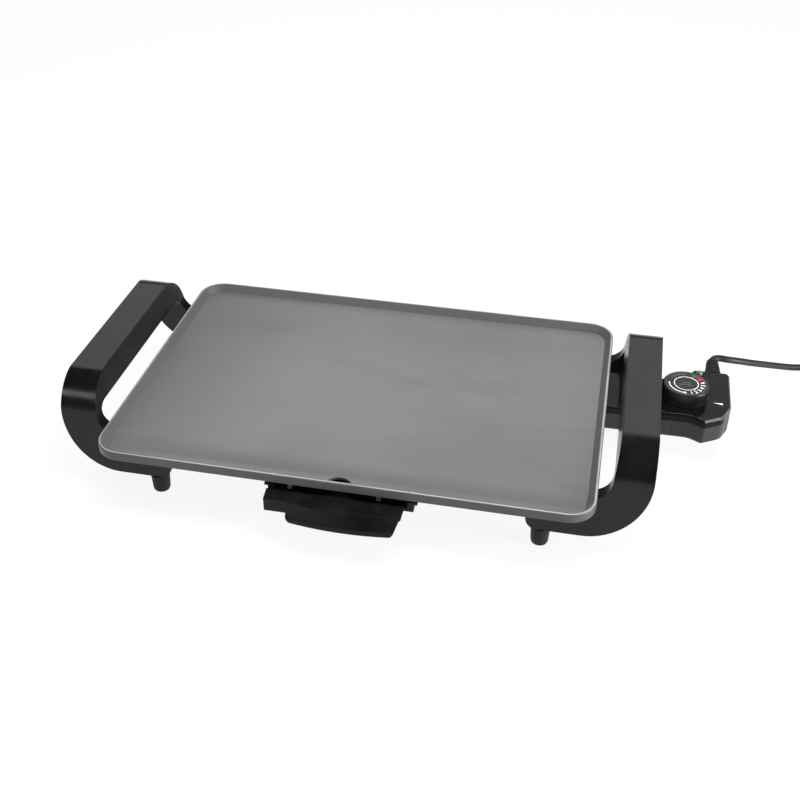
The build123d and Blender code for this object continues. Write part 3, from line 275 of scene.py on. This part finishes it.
def nonStickCoating(look):
    made, tree, shader = newMaterial("nonStickCoating")
    where = addNode(tree, "TexCoord").outputs["Object"]
    patches = noiseAt(tree, where, look["patchScale"], 3, 0.5)
    drift = noiseAt(tree, where, look["driftScale"], 2, 0.5)
    fine = noiseAt(tree, where, look["fineScale"], 3, 0.6)
    grain = noiseAt(tree, where, look["grainScale"], 2, 0.7)
    streaks = noiseAt(tree, objectCoordinates(tree, look["streakStretch"]), look["streakScale"], 4, 0.6)

    split = addNode(tree, "SeparateXYZ")
    tree.links.new(where, split.inputs[0])
    height = split.outputs[2]
    halfX = (plateHigh.x - plateLow.x) / 2
    halfY = (plateHigh.y - plateLow.y) / 2
    offX = mathNode(tree, "SUBTRACT", split.outputs[0], plateMiddle.x)
    offY = mathNode(tree, "SUBTRACT", split.outputs[1], plateMiddle.y)
    inset = insetFromOutline(tree, offX, offY, halfX, halfY, look["corner"])
    fromFront = mathNode(tree, "ADD", offY, halfY)
    facing = addNode(tree, "SeparateXYZ")
    tree.links.new(addNode(tree, "NewGeometry").outputs["Normal"], facing.inputs[0])

    # painted shade: the plate is darkened towards its left end and towards its outline, leaving the
    # middle lighter
    leftShade = rangeNode(tree, offX, -halfX, look["leftShadeReach"] - halfX, look["leftShadeShare"], 0.0)
    edgeShade = rangeNode(tree, inset, *look["edgeShadeReach"], look["edgeShadeShare"], 0.0)
    edgeShade = mathNode(tree, "MULTIPLY", edgeShade, rangeNode(tree, drift, 0.3, 0.7, 0.6, 1.0))
    skirt = [plateHigh.z - drop for drop in look["underFrom"]]
    layers = [
        (rangeNode(tree, patches, 0.48, 0.72, 0.0, look["warmShare"]), look["warm"]),
        (rangeNode(tree, fine, 0.35, 0.7, 0.0, look["speckShare"]), look["speck"]),
        (rangeNode(tree, streaks, 0.52, 0.72, 0.0, look["streakShare"]), look["shadeAndStreakTone"]),
        (frontShadeBand(tree, look, fromFront, drift), look["shadeAndStreakTone"]),
        (leftShade, look["shadeAndStreakTone"]),
        (edgeShade, look["shadeAndStreakTone"]),
        # painted shade: faces that tilt away from straight up, such as the rim's slopes, are darkened
        (rangeNode(tree, facing.outputs[2], 0.8, 0.99, look["slopeShare"], 0.0), look["slope"]),
        (crestHighlightShare(tree, look, inset, height, patches), look["crestHighlightTone"]),
        (rangeNode(tree, height, *skirt, 1.0, 0.0), look["under"]),
    ]
    tone = ramp(tree, drift, [(0.35, look["dim"]), (0.6, look["tone"])])
    for share, colour in layers:
        tone = mixColours(tree, share, tone, colour)
    tree.links.new(tone, shader.inputs["Base Color"])
    tree.links.new(rangeNode(tree, patches, 0.3, 0.7, *look["roughness"]), shader.inputs["Roughness"])
    shader.inputs["Metallic"].default_value = look["metallic"]
    shader.inputs["IOR"].default_value = look["ior"]
    addBump(tree, shader, grain, look["grainDepth"], look["grainStrength"])
    return made


# every moulded finish starts from this gloss and changes what differs
blackGloss = {
    "dark": (0.003, 0.003, 0.0032),
    "light": (0.006, 0.0058, 0.0058),
    "cloudScale": 30.0,
    "roughness": (0.18, 0.27),
    "ior": 1.39,
    "coat": 0.0,
    "coatRoughness": 0.12,
    "grainScale": 700.0,
    "grainDepth": 0.0001,
    "grainStrength": 0.12,
}
mouldings = {
    "handlePlastic": {},
    "controlGloss": {"roughness": (0.1, 0.15), "ior": 1.22},
    "controlPlastic": {
        "dark": (0.012, 0.012, 0.012), "light": (0.026, 0.0255, 0.025),
        "roughness": (0.38, 0.5), "ior": 1.42, "grainStrength": 0.35},
    # painted highlight for the control top's rolled front edge
    "controlEdgeHighlight": {
        "dark": (0.055, 0.055, 0.055), "light": (0.10, 0.10, 0.10),
        "roughness": (0.25, 0.35), "cloudScale": 120.0},
    "trayPlastic": {
        "light": (0.007, 0.007, 0.0075), "roughness": (0.34, 0.45), "ior": 1.28, "grainStrength": 0.3},
    "dialPlastic": {"light": (0.013, 0.013, 0.0135), "roughness": (0.32, 0.42), "ior": 1.42},
    "cordJacket": {
        "dark": (0.009, 0.009, 0.009), "light": (0.015, 0.015, 0.015),
        "roughness": (0.45, 0.55), "ior": 1.36, "grainScale": 500.0, "grainStrength": 0.4},
    "footRubber": {"roughness": (0.55, 0.7), "grainScale": 900.0, "grainStrength": 0.6},
    "plugPlastic": {"light": (0.018, 0.018, 0.018), "roughness": (0.4, 0.5)},
    "phenolic": {"dark": (0.02, 0.013, 0.01), "light": (0.045, 0.03, 0.024), "roughness": (0.35, 0.5)},
    "ceramic": {
        "dark": (0.68, 0.64, 0.56), "light": (0.82, 0.79, 0.72),
        "roughness": (0.5, 0.65), "grainStrength": 0.3},
    "blueInsulation": {"dark": (0.02, 0.07, 0.34), "light": (0.03, 0.1, 0.42), "roughness": (0.4, 0.5)},
    "brownInsulation": {"dark": (0.1, 0.04, 0.02), "light": (0.15, 0.06, 0.03), "roughness": (0.4, 0.5)},
    "printWhite": {
        "dark": (0.55, 0.55, 0.55), "light": (0.75, 0.75, 0.74),
        "roughness": (0.45, 0.55), "cloudScale": 300.0},
    "printGrey": {
        "dark": (0.07, 0.07, 0.07), "light": (0.13, 0.13, 0.13),
        "roughness": (0.45, 0.55), "cloudScale": 300.0},
    "printRed": {
        "dark": (0.32, 0.003, 0.016), "light": (0.48, 0.006, 0.026),
        "roughness": (0.4, 0.5), "cloudScale": 300.0},
    "printGreen": {
        "dark": (0.006, 0.085, 0.035), "light": (0.01, 0.13, 0.055),
        "roughness": (0.4, 0.5), "cloudScale": 300.0},
    "lensSmoke": {
        "dark": (0.1, 0.1, 0.1), "light": (0.18, 0.17, 0.17),
        "roughness": (0.1, 0.16), "coat": 0.5, "coatRoughness": 0.05},
    "lampGlass": {
        "dark": (0.75, 0.35, 0.2), "light": (0.9, 0.5, 0.3), "roughness": (0.05, 0.1), "coat": 0.5},
}
# every metal shares how deep its brushing looks
brushing = {"grainDepth": 0.0002, "grainStrength": 0.25}
metals = {
    "elementSheath": {
        "dark": (0.2, 0.19, 0.18), "light": (0.38, 0.36, 0.34),
        "stain": (0.2, 0.12, 0.07), "stainShare": 0.6, "roughness": (0.35, 0.55),
        "stretch": (60, 60, 60), "scale": 6.0, "patchScale": 25.0},
    "platedSteel": {
        "dark": (0.5, 0.5, 0.5), "light": (0.68, 0.68, 0.67),
        "stain": (0.45, 0.43, 0.4), "stainShare": 0.3, "roughness": (0.25, 0.38),
        "stretch": (30, 300, 300), "scale": 5.0, "patchScale": 20.0},
    "screwSteel": {
        "dark": (0.42, 0.42, 0.43), "light": (0.6, 0.6, 0.6),
        "stain": (0.3, 0.28, 0.25), "stainShare": 0.3, "roughness": (0.25, 0.4),
        "stretch": (200, 200, 200), "scale": 6.0, "patchScale": 60.0},
    "brass": {
        "dark": (0.5, 0.33, 0.12), "light": (0.72, 0.52, 0.24),
        "stain": (0.3, 0.2, 0.08), "stainShare": 0.3, "roughness": (0.25, 0.4),
        "stretch": (40, 200, 200), "scale": 5.0, "patchScale": 40.0},
}
finishes = {name: moulded(name, {**blackGloss, **changes}) for name, changes in mouldings.items()}
finishes.update({name: brushedMetal(name, {**brushing, **look}) for name, look in metals.items()})
finishes["nonStickCoating"] = nonStickCoating(coatingLook)
print("materials made,", len(finishes))

nodeFinish = {
    "griddle_plate": "nonStickCoating",
    "heating_element": "elementSheath",
    "terminal_insulators": "ceramic",
    "terminal_pins": "platedSteel",
    "terminal_guard": "platedSteel",
    "guard_screws": "screwSteel",
    "right_handle": "handlePlastic",
    "left_handle": "handlePlastic",
    "handle_screws": "screwSteel",
    "rubber_feet": "footRubber",
    "drip_tray": "trayPlastic",
    "left_tray_rail": "trayPlastic",
    "right_tray_rail": "trayPlastic",
    "rail_screws": "screwSteel",
    "control_top_housing": "controlGloss",
    "control_bottom_housing": "controlPlastic",
    "housing_screws": "screwSteel",
    "receptacle_block": "phenolic",
    "receptacle_contacts": "brass",
    "probe_tube": "platedSteel",
    "probe_rod": "ceramic",
    "thermostat_frame": "platedSteel",
    "spindle_bush": "brass",
    "fixed_contact_leaf": "brass",
    "moving_contact_leaf": "brass",
    "leaf_insulators": "ceramic",
    "stack_screw": "screwSteel",
    "neutral_lead": "blueInsulation",
    "live_lead": "brownInsulation",
    "pilot_lamp": "lampGlass",
    "lamp_lens": "lensSmoke",
    "dial": "dialPlastic",
    "dial_spindle": "platedSteel",
    "strain_relief": "cordJacket",
    "power_cord": "cordJacket",
    "cord_coil": "cordJacket",
    "plug_body": "plugPlastic",
    "plug_pins": "platedSteel",
}
for node, finish in nodeFinish.items():
    mesh = nodes[node].data
    mesh.materials.clear()
    mesh.materials.append(finishes[finish])


def addPiece(name, mesh, body, finish):
    piece = bpy.data.objects.new(name, mesh)
    bpy.context.scene.collection.objects.link(piece)
    mesh.materials.clear()
    mesh.materials.append(finishes[finish])
    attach(piece, body)
    return piece


def meshFrom(bm, name, smoothAngle=30):
    mesh = bpy.data.meshes.new(name)
    bm.to_mesh(mesh)
    bm.free()
    mesh.shade_smooth()
    mesh.set_sharp_from_angle(angle=radians(smoothAngle))
    return mesh


# the free run, then the put-away turns, then straight into the plug;
# tighten, loosen, spread, climb and drop say from which turn to which turn each happens
cord = {
    "diameter": 0.008,
    "length": 0.95,
    "route": [
        (0.3725, 0.1605, 0.0520),
        (0.3725, 0.1685, 0.0520),
        (0.3795, 0.1735, 0.0519),
        (0.3910, 0.1746, 0.0502),
        (0.4050, 0.1815, 0.0458),
        (0.4220, 0.1945, 0.0370),
        (0.4420, 0.2135, 0.0253),
        (0.4620, 0.2320, 0.0138),
        (0.4800, 0.2460, 0.0054),
        (0.5000, 0.2526, 0.0042),
        (0.5200, 0.2530, 0.0042),
        (0.5360, 0.2530, 0.0042),
    ],
    "coilCentre": (0.572, 0.200),
    "turns": 2.25,
    "pointsPerTurn": 16,
    "startRadius": 0.0530,
    "innerRadius": 0.0446,
    "outRadius": 0.0610,
    "tighten": (0.05, 0.95),
    "loosen": (1.35, 1.9),
    "spread": (1.95, 2.15),
    "lift": 0.0083,
    "climb": (0.92, 1.25),
    "drop": (2.05, 2.25),
    "plugGap": 0.026,
}


def eased(value, low, high):
    share = min(max((value - low) / (high - low), 0), 1)
    return share * share * (3 - 2 * share)


def coilPoints(look):
    points = []
    count = round(look["turns"] * look["pointsPerTurn"])
    floor = look["route"][-1][2]
    start = look["startRadius"]
    shrink = start - look["innerRadius"]
    for number in range(count + 1):
        turn = number / look["pointsPerTurn"]
        angle = pi / 2 - 2 * pi * turn
        radius = start - shrink * eased(turn, *look["tighten"])
        radius += shrink * eased(turn, *look["loosen"])
        radius += (look["outRadius"] - start) * eased(turn, *look["spread"])
        height = floor + look["lift"] * (eased(turn, *look["climb"]) - eased(turn, *look["drop"]))
        x, y = look["coilCentre"]
        points.append((x + radius * cos(angle), y + radius * sin(angle), height))
    return points


def makeCord(look):
    points = look["route"] + coilPoints(look)
    x, y, z = points[-1]
    points += [(x, y - look["plugGap"] * share, z) for share in (0.5, 1.0)]
    curve = bpy.data.curves.new("mainsCord", "CURVE")
    curve.dimensions = "3D"
    curve.bevel_depth = look["diameter"] / 2
    curve.bevel_resolution = 5
    curve.resolution_u = 8
    curve.use_fill_caps = True
    line = curve.splines.new("NURBS")
    line.points.add(len(points) - 1)
    for point, place in zip(line.points, points):
        point.co = (*fromPlate(*place), 1)
    line.order_u = 3
    line.use_endpoint_u = True
    curve.materials.append(finishes["cordJacket"])
    piece = bpy.data.objects.new("mainsCord", curve)
    bpy.context.scene.collection.objects.link(piece)
    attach(piece, "control")
    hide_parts("power_cord", "cord_coil")
    return piece


mainsCord = makeCord(cord)
print("cord laid")


def brokenEdges(node, name, width, steps=3, sharpest=25, keep=None):
    bm = bmesh.new()
    bm.from_mesh(nodes[node].data)
    bmesh.ops.remove_doubles(bm, verts=bm.verts, dist=0.000002)
    bmesh.ops.dissolve_limit(bm, angle_limit=radians(0.5), verts=bm.verts, edges=bm.edges)
    sharp = [e for e in bm.edges if e.is_manifold and abs(e.calc_face_angle(0)) > radians(sharpest)]
    if keep:
        sharp = [e for e in sharp if keep(e)]
    bmesh.ops.bevel(bm, geom=sharp, offset=width, offset_type="OFFSET", segments=steps, profile=0.5,
                    affect="EDGES", clamp_overlap=True, material=-1)
    bmesh.ops.triangulate(bm, faces=bm.faces)
    return meshFrom(bm, name, 35)


def flatShaded(piece):
    even = piece.modifiers.new("evenShading", "WEIGHTED_NORMAL")
    even.keep_sharp = True
    even.weight = 100


# an edge that crosses the grip's root, a height above the plate, stays sharp
handleLook = {"edge": 0.0013, "steps": 3, "gripRoot": 0.010, "near": 0.0002}


def outerEdge(e):
    root = plateHigh.z + handleLook["gripRoot"]
    below = all(v.co.z < root + handleLook["near"] for v in e.verts)
    above = all(v.co.z > root - handleLook["near"] for v in e.verts)
    return below or above


def makeHandle(node, name, look):
    shell = brokenEdges(node, name, look["edge"], look["steps"], keep=outerEdge)
    piece = addPiece(name, shell, "griddle", "handlePlastic")
    flatShaded(piece)
    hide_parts(node)


makeHandle("left_handle", "leftHandle", handleLook)
makeHandle("right_handle", "rightHandle", handleLook)
print("handles made")


footLook = {
    "profile": [(0.0, 0.0), (0.0064, 0.0), (0.0083, 0.0010), (0.0091, 0.0032), (0.0096, 0.0120),
                (0.0100, 0.0192), (0.01025, 0.0204), (0.0101, 0.0220)],
    "steps": 40,
}


def makeFeet(look):
    low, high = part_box("rubber_feet")
    radius = max(r for r, z in look["profile"])
    whole = bmesh.new()
    for x in (low.x + radius, high.x - radius):
        for y in (low.y + radius, high.y - radius):
            bm = bmesh.new()
            ring = [bm.verts.new((x + r, y, z)) for r, z in look["profile"]]
            edges = [bm.edges.new(pair) for pair in zip(ring, ring[1:])]
            bmesh.ops.spin(bm, geom=ring + edges, cent=(x, y, 0), axis=(0, 0, 1), angle=2 * pi,
                           steps=look["steps"], use_merge=True)
            bmesh.ops.remove_doubles(bm, verts=bm.verts, dist=0.00001)
            bmesh.ops.holes_fill(bm, edges=[e for e in bm.edges if e.is_boundary], sides=0)
            bmesh.ops.recalc_face_normals(bm, faces=bm.faces)
            part = bpy.data.meshes.new("foot")
            bm.to_mesh(part)
            bm.free()
            whole.from_mesh(part)
    piece = addPiece("rubberFeet", meshFrom(whole, "rubberFeet", 40), "griddle", "footRubber")
    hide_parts("rubber_feet")


makeFeet(footLook)
print("feet made")


trayLook = {"edge": 0.0006, "steps": 2}


def makeTray(look):
    shell = brokenEdges("drip_tray", "dripTray", look["edge"], look["steps"])
    piece = addPiece("dripTray", shell, "drip_tray", "trayPlastic")
    flatShaded(piece)
    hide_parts("drip_tray")


makeTray(trayLook)


# the rolled values bound how far up a face points, the facing ones how far along X and Y
controlLook = {
    "topEdge": 0.0008,
    "bottomEdge": 0.0004,
    "steps": 3,
    "rolledFrom": 0.78,
    "rolledFromRight": 0.3,
    "rolledTo": 0.985,
    "rightFacing": 0.15,
    "frontFacing": -0.08,
    "rolledDepth": 0.0034,
}


def paintFrontEdgeHighlight(shell, look):
    # painted highlight: the rolled front edge takes a lighter grey material than the gloss around it
    shell.data.materials.append(finishes["controlEdgeHighlight"])
    top = max(v.co.z for v in shell.data.vertices)
    for face in shell.data.polygons:
        normal = face.normal
        lowest = look["rolledFromRight"] if normal.x > look["rightFacing"] else look["rolledFrom"]
        rolled = lowest < normal.z < look["rolledTo"] and normal.y < look["frontFacing"]
        if rolled and face.center.z > top - look["rolledDepth"]:
            face.material_index = 1


def makeHousing(node, name, edge, look):
    shell = addPiece(name, brokenEdges(node, name, edge, look["steps"]), "control", nodeFinish[node])
    if name == "controlTop":
        paintFrontEdgeHighlight(shell, look)
    flatShaded(shell)
    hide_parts(node)


makeHousing("control_top_housing", "controlTop", controlLook["topEdge"], controlLook)
makeHousing("control_bottom_housing", "controlBottom", controlLook["bottomEdge"], controlLook)
print("tray and control made")


dialLook = {
    "ringRadius": 0.0131,
    "ringWidth": 0.0010,
    "arcRadius": 0.0186,
    "arcWidth": 0.0014,
    "arcFrom": 180,
    "arcTo": 262,
    "numbers": ["1", "2", "3", "4", "5", "6"],
    "numbersFrom": -72,
    "numbersTo": 14,
    "numberSize": 0.0066,
    "numberRadius": 0.0184,
    "edgeRadius": 0.0222,
    "words": [("TEMP", 0.0040, 0.0014), ("CONTROL", 0.0032, -0.0030)],
    "boldness": 0.022,
    "greyFrom": 92,
    "greyStep": 9,
    "greyLength": 5,
    "greyCount": 7,
    "greyWidth": 0.0022,
    "redAngle": 36,
    "redSpan": 18,
    "redWidth": 0.0056,
    "greenAngle": 60,
    "greenSpan": 20,
    "greenWidth": 0.0050,
    "edgeWidth": 0.0005,
    "arrowSize": 0.0024,
    "arrowAhead": 3,
    "thickness": 0.00012,
    "sunk": 0.00002,
}


def makePrint(name, finish, parts):
    bm = bmesh.new()
    for mesh in parts:
        bm.from_mesh(mesh)
    bmesh.ops.remove_doubles(bm, verts=bm.verts, dist=0.000001)
    bmesh.ops.recalc_face_normals(bm, faces=bm.faces)
    piece = addPiece(name, meshFrom(bm, name, 30), "dial", finish)


def arcMesh(look, radius, width, start, end):
    bm = bmesh.new()
    base = dialHigh.z - look["sunk"]
    middle = Vector((dialMiddle.x, dialMiddle.y, 0))
    angle = radians(start)
    low = []
    for away in (radius - width / 2, radius + width / 2):
        low.append(bm.verts.new((middle.x + away * cos(angle), middle.y + away * sin(angle), base)))
    high = [bm.verts.new((v.co.x, v.co.y, base + look["thickness"])) for v in low]
    face = bm.faces.new((low[0], low[1], high[1], high[0]))
    bmesh.ops.spin(bm, geom=[face], cent=middle, axis=(0, 0, 1), angle=radians(end - start),
                   steps=max(4, int(abs(end - start) / 4)), use_merge=False)
    mesh = bpy.data.meshes.new("arc")
    bm.to_mesh(mesh)
    bm.free()
    return mesh


def textMesh(look, text, size, place, turn):
    letters = bpy.data.curves.new("letters", "FONT")
    letters.body = text
    letters.size = size
    letters.extrude = look["thickness"] / 2
    letters.offset = size * look["boldness"]
    letters.align_x = "CENTER"
    letters.align_y = "CENTER"
    carrier = bpy.data.objects.new("letters", letters)
    bpy.context.scene.collection.objects.link(carrier)
    mesh = bpy.data.meshes.new_from_object(carrier.evaluated_get(bpy.context.evaluated_depsgraph_get()))
    bpy.data.objects.remove(carrier)
    mesh.transform(Matrix.Translation(place) @ Matrix.Rotation(turn, 4, "Z"))
    return mesh


def aroundDial(look, radius, degrees):
    angle = radians(degrees)
    height = dialHigh.z + look["thickness"] / 2
    return Vector((dialMiddle.x + radius * cos(angle), dialMiddle.y + radius * sin(angle), height))


def arrowHead(look, radius, degrees, size):
    bm = bmesh.new()
    bmesh.ops.create_cone(bm, cap_ends=True, segments=3, radius1=size, radius2=size,
                          depth=look["thickness"])
    turn = Matrix.Rotation(radians(degrees + 90), 4, "Z")
    move = Matrix.Translation(aroundDial(look, radius, degrees))
    bmesh.ops.transform(bm, matrix=move @ turn, verts=bm.verts)
    mesh = bpy.data.meshes.new("arrow")
    bm.to_mesh(mesh)
    bm.free()
    return mesh


def bandMesh(look, middle, span, width):
    return arcMesh(look, look["numberRadius"], width, middle - span / 2, middle + span / 2)


def makeDialPrint(look):
    white = [
        arcMesh(look, look["ringRadius"], look["ringWidth"], 0, 180),
        arcMesh(look, look["ringRadius"], look["ringWidth"], 180, 360),
        arcMesh(look, look["arcRadius"], look["arcWidth"], look["arcFrom"], look["arcTo"]),
        arrowHead(look, look["arcRadius"], look["arcTo"] + look["arrowAhead"], look["arrowSize"]),
    ]
    gaps = len(look["numbers"]) - 1
    for place, number in enumerate(look["numbers"]):
        degrees = look["numbersFrom"] + (look["numbersTo"] - look["numbersFrom"]) * place / gaps
        spot = aroundDial(look, look["numberRadius"], degrees)
        white.append(textMesh(look, number, look["numberSize"], spot, radians(degrees + 90)))
    makePrint("dialNumbers", "printWhite", white)
    red = bandMesh(look, look["redAngle"], look["redSpan"], look["redWidth"])
    makePrint("dialRedMark", "printRed", [red])
    green = bandMesh(look, look["greenAngle"], look["greenSpan"], look["greenWidth"])
    makePrint("dialGreenMark", "printGreen", [green])
    grey = []
    for number in range(look["greyCount"]):
        start = look["greyFrom"] + look["greyStep"] * number
        end = start + look["greyLength"]
        grey.append(arcMesh(look, look["numberRadius"], look["greyWidth"], start, end))
    for word, size, away in look["words"]:
        grey.append(textMesh(look, word, size, aroundDial(look, away, 90), 0))
    for start in (0, 120, 240):
        grey.append(arcMesh(look, look["edgeRadius"], look["edgeWidth"], start, start + 120))
    makePrint("dialGreyMarks", "printGrey", grey)


makeDialPrint(dialLook)
print("dial printed")


pointerLook = {
    "tip": (0.3706, 0.0636),
    "tail": (0.3808, 0.0629),
    "width": 0.0036,
    "thickness": 0.0002,
    "sunk": 0.00003,
}


def makePointer(look):
    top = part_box("control_top_housing")[1].z
    tip, tail = Vector(look["tip"]), Vector(look["tail"])
    along = (tail - tip).normalized()
    across = Vector((-along.y, along.x)) * look["width"] / 2
    bm = bmesh.new()
    corners = [tip, tail + across, tail - across]
    face = bm.faces.new([bm.verts.new(fromPlate(c.x, c.y, top - look["sunk"])) for c in corners])
    raised = bmesh.ops.extrude_face_region(bm, geom=[face])
    verts = [v for v in raised["geom"] if isinstance(v, bmesh.types.BMVert)]
    bmesh.ops.translate(bm, vec=(0, 0, look["thickness"]), verts=verts)
    bmesh.ops.recalc_face_normals(bm, faces=bm.faces)
    piece = addPiece("pointerMark", meshFrom(bm, "pointerMark"), "control", "printWhite")


makePointer(pointerLook)


studio = {
    "floorSize": 12.0,
    "floorTone": (0.10, 0.10, 0.10),
    "floorGlow": 0.90,
    "floorRoughness": 0.9,
    "floorShine": 0.1,
    "worldStrength": 0.05,
    "lights": {
        "topLight": {"place": (0.14, -0.12, 0.95), "size": (0.6, 0.6), "power": 12, "mirrored": False},
        "fillLight": {"place": (0.1, 0.1, 2.6), "size": (3.0, 3.0), "power": 36, "mirrored": False},
        "backPanel": {"place": (-0.4, 2.59, 1.50), "size": (4.8, 1.0), "power": 14.5, "mirrored": True},
        "upperPanel": {"place": (-0.4, 1.96, 2.28), "size": (4.8, 1.0), "power": 23, "mirrored": True},
        "leftPanel": {"place": (-1.15, -1.5, 1.25), "size": (1.1, 0.42), "power": 6.0, "mirrored": True},
        "rightPanel": {"place": (2.0, -0.3, 0.4), "size": (0.7, 0.7), "power": 60, "mirrored": True},
    },
    "aim": (0, 0, 0.06),
}


def makeStudio(look):
    bm = bmesh.new()
    bmesh.ops.create_grid(bm, x_segments=1, y_segments=1, size=look["floorSize"] / 2)
    floor = bpy.data.objects.new("floor", meshFrom(bm, "floor"))
    bpy.context.scene.collection.objects.link(floor)
    made, tree, shader = newMaterial("floorPaper")
    shader.inputs["Base Color"].default_value = (*look["floorTone"], 1)
    shader.inputs["Roughness"].default_value = look["floorRoughness"]
    shader.inputs["Specular IOR Level"].default_value = look["floorShine"]
    shader.inputs["Emission Color"].default_value = (1, 1, 1, 1)
    shader.inputs["Emission Strength"].default_value = look["floorGlow"]
    floor.data.materials.append(made)
    world = bpy.data.worlds.new("studio")
    world.use_nodes = True
    world.node_tree.nodes["Background"].inputs["Color"].default_value = (1, 1, 1, 1)
    world.node_tree.nodes["Background"].inputs["Strength"].default_value = look["worldStrength"]
    bpy.context.scene.world = world
    for name, light in look["lights"].items():
        data = bpy.data.lights.new(name, "AREA")
        data.shape = "RECTANGLE"
        data.size, data.size_y = light["size"]
        data.energy = light["power"]
        lamp = bpy.data.objects.new(name, data)
        bpy.context.scene.collection.objects.link(lamp)
        lamp.location = light["place"]
        aim = Vector(look["aim"]) - Vector(light["place"])
        lamp.rotation_euler = aim.to_track_quat("-Z", "Y").to_euler()
        lamp.visible_glossy = light["mirrored"]


makeStudio(studio)
bpy.context.scene.view_settings.view_transform = "Standard"
print("studio lit")
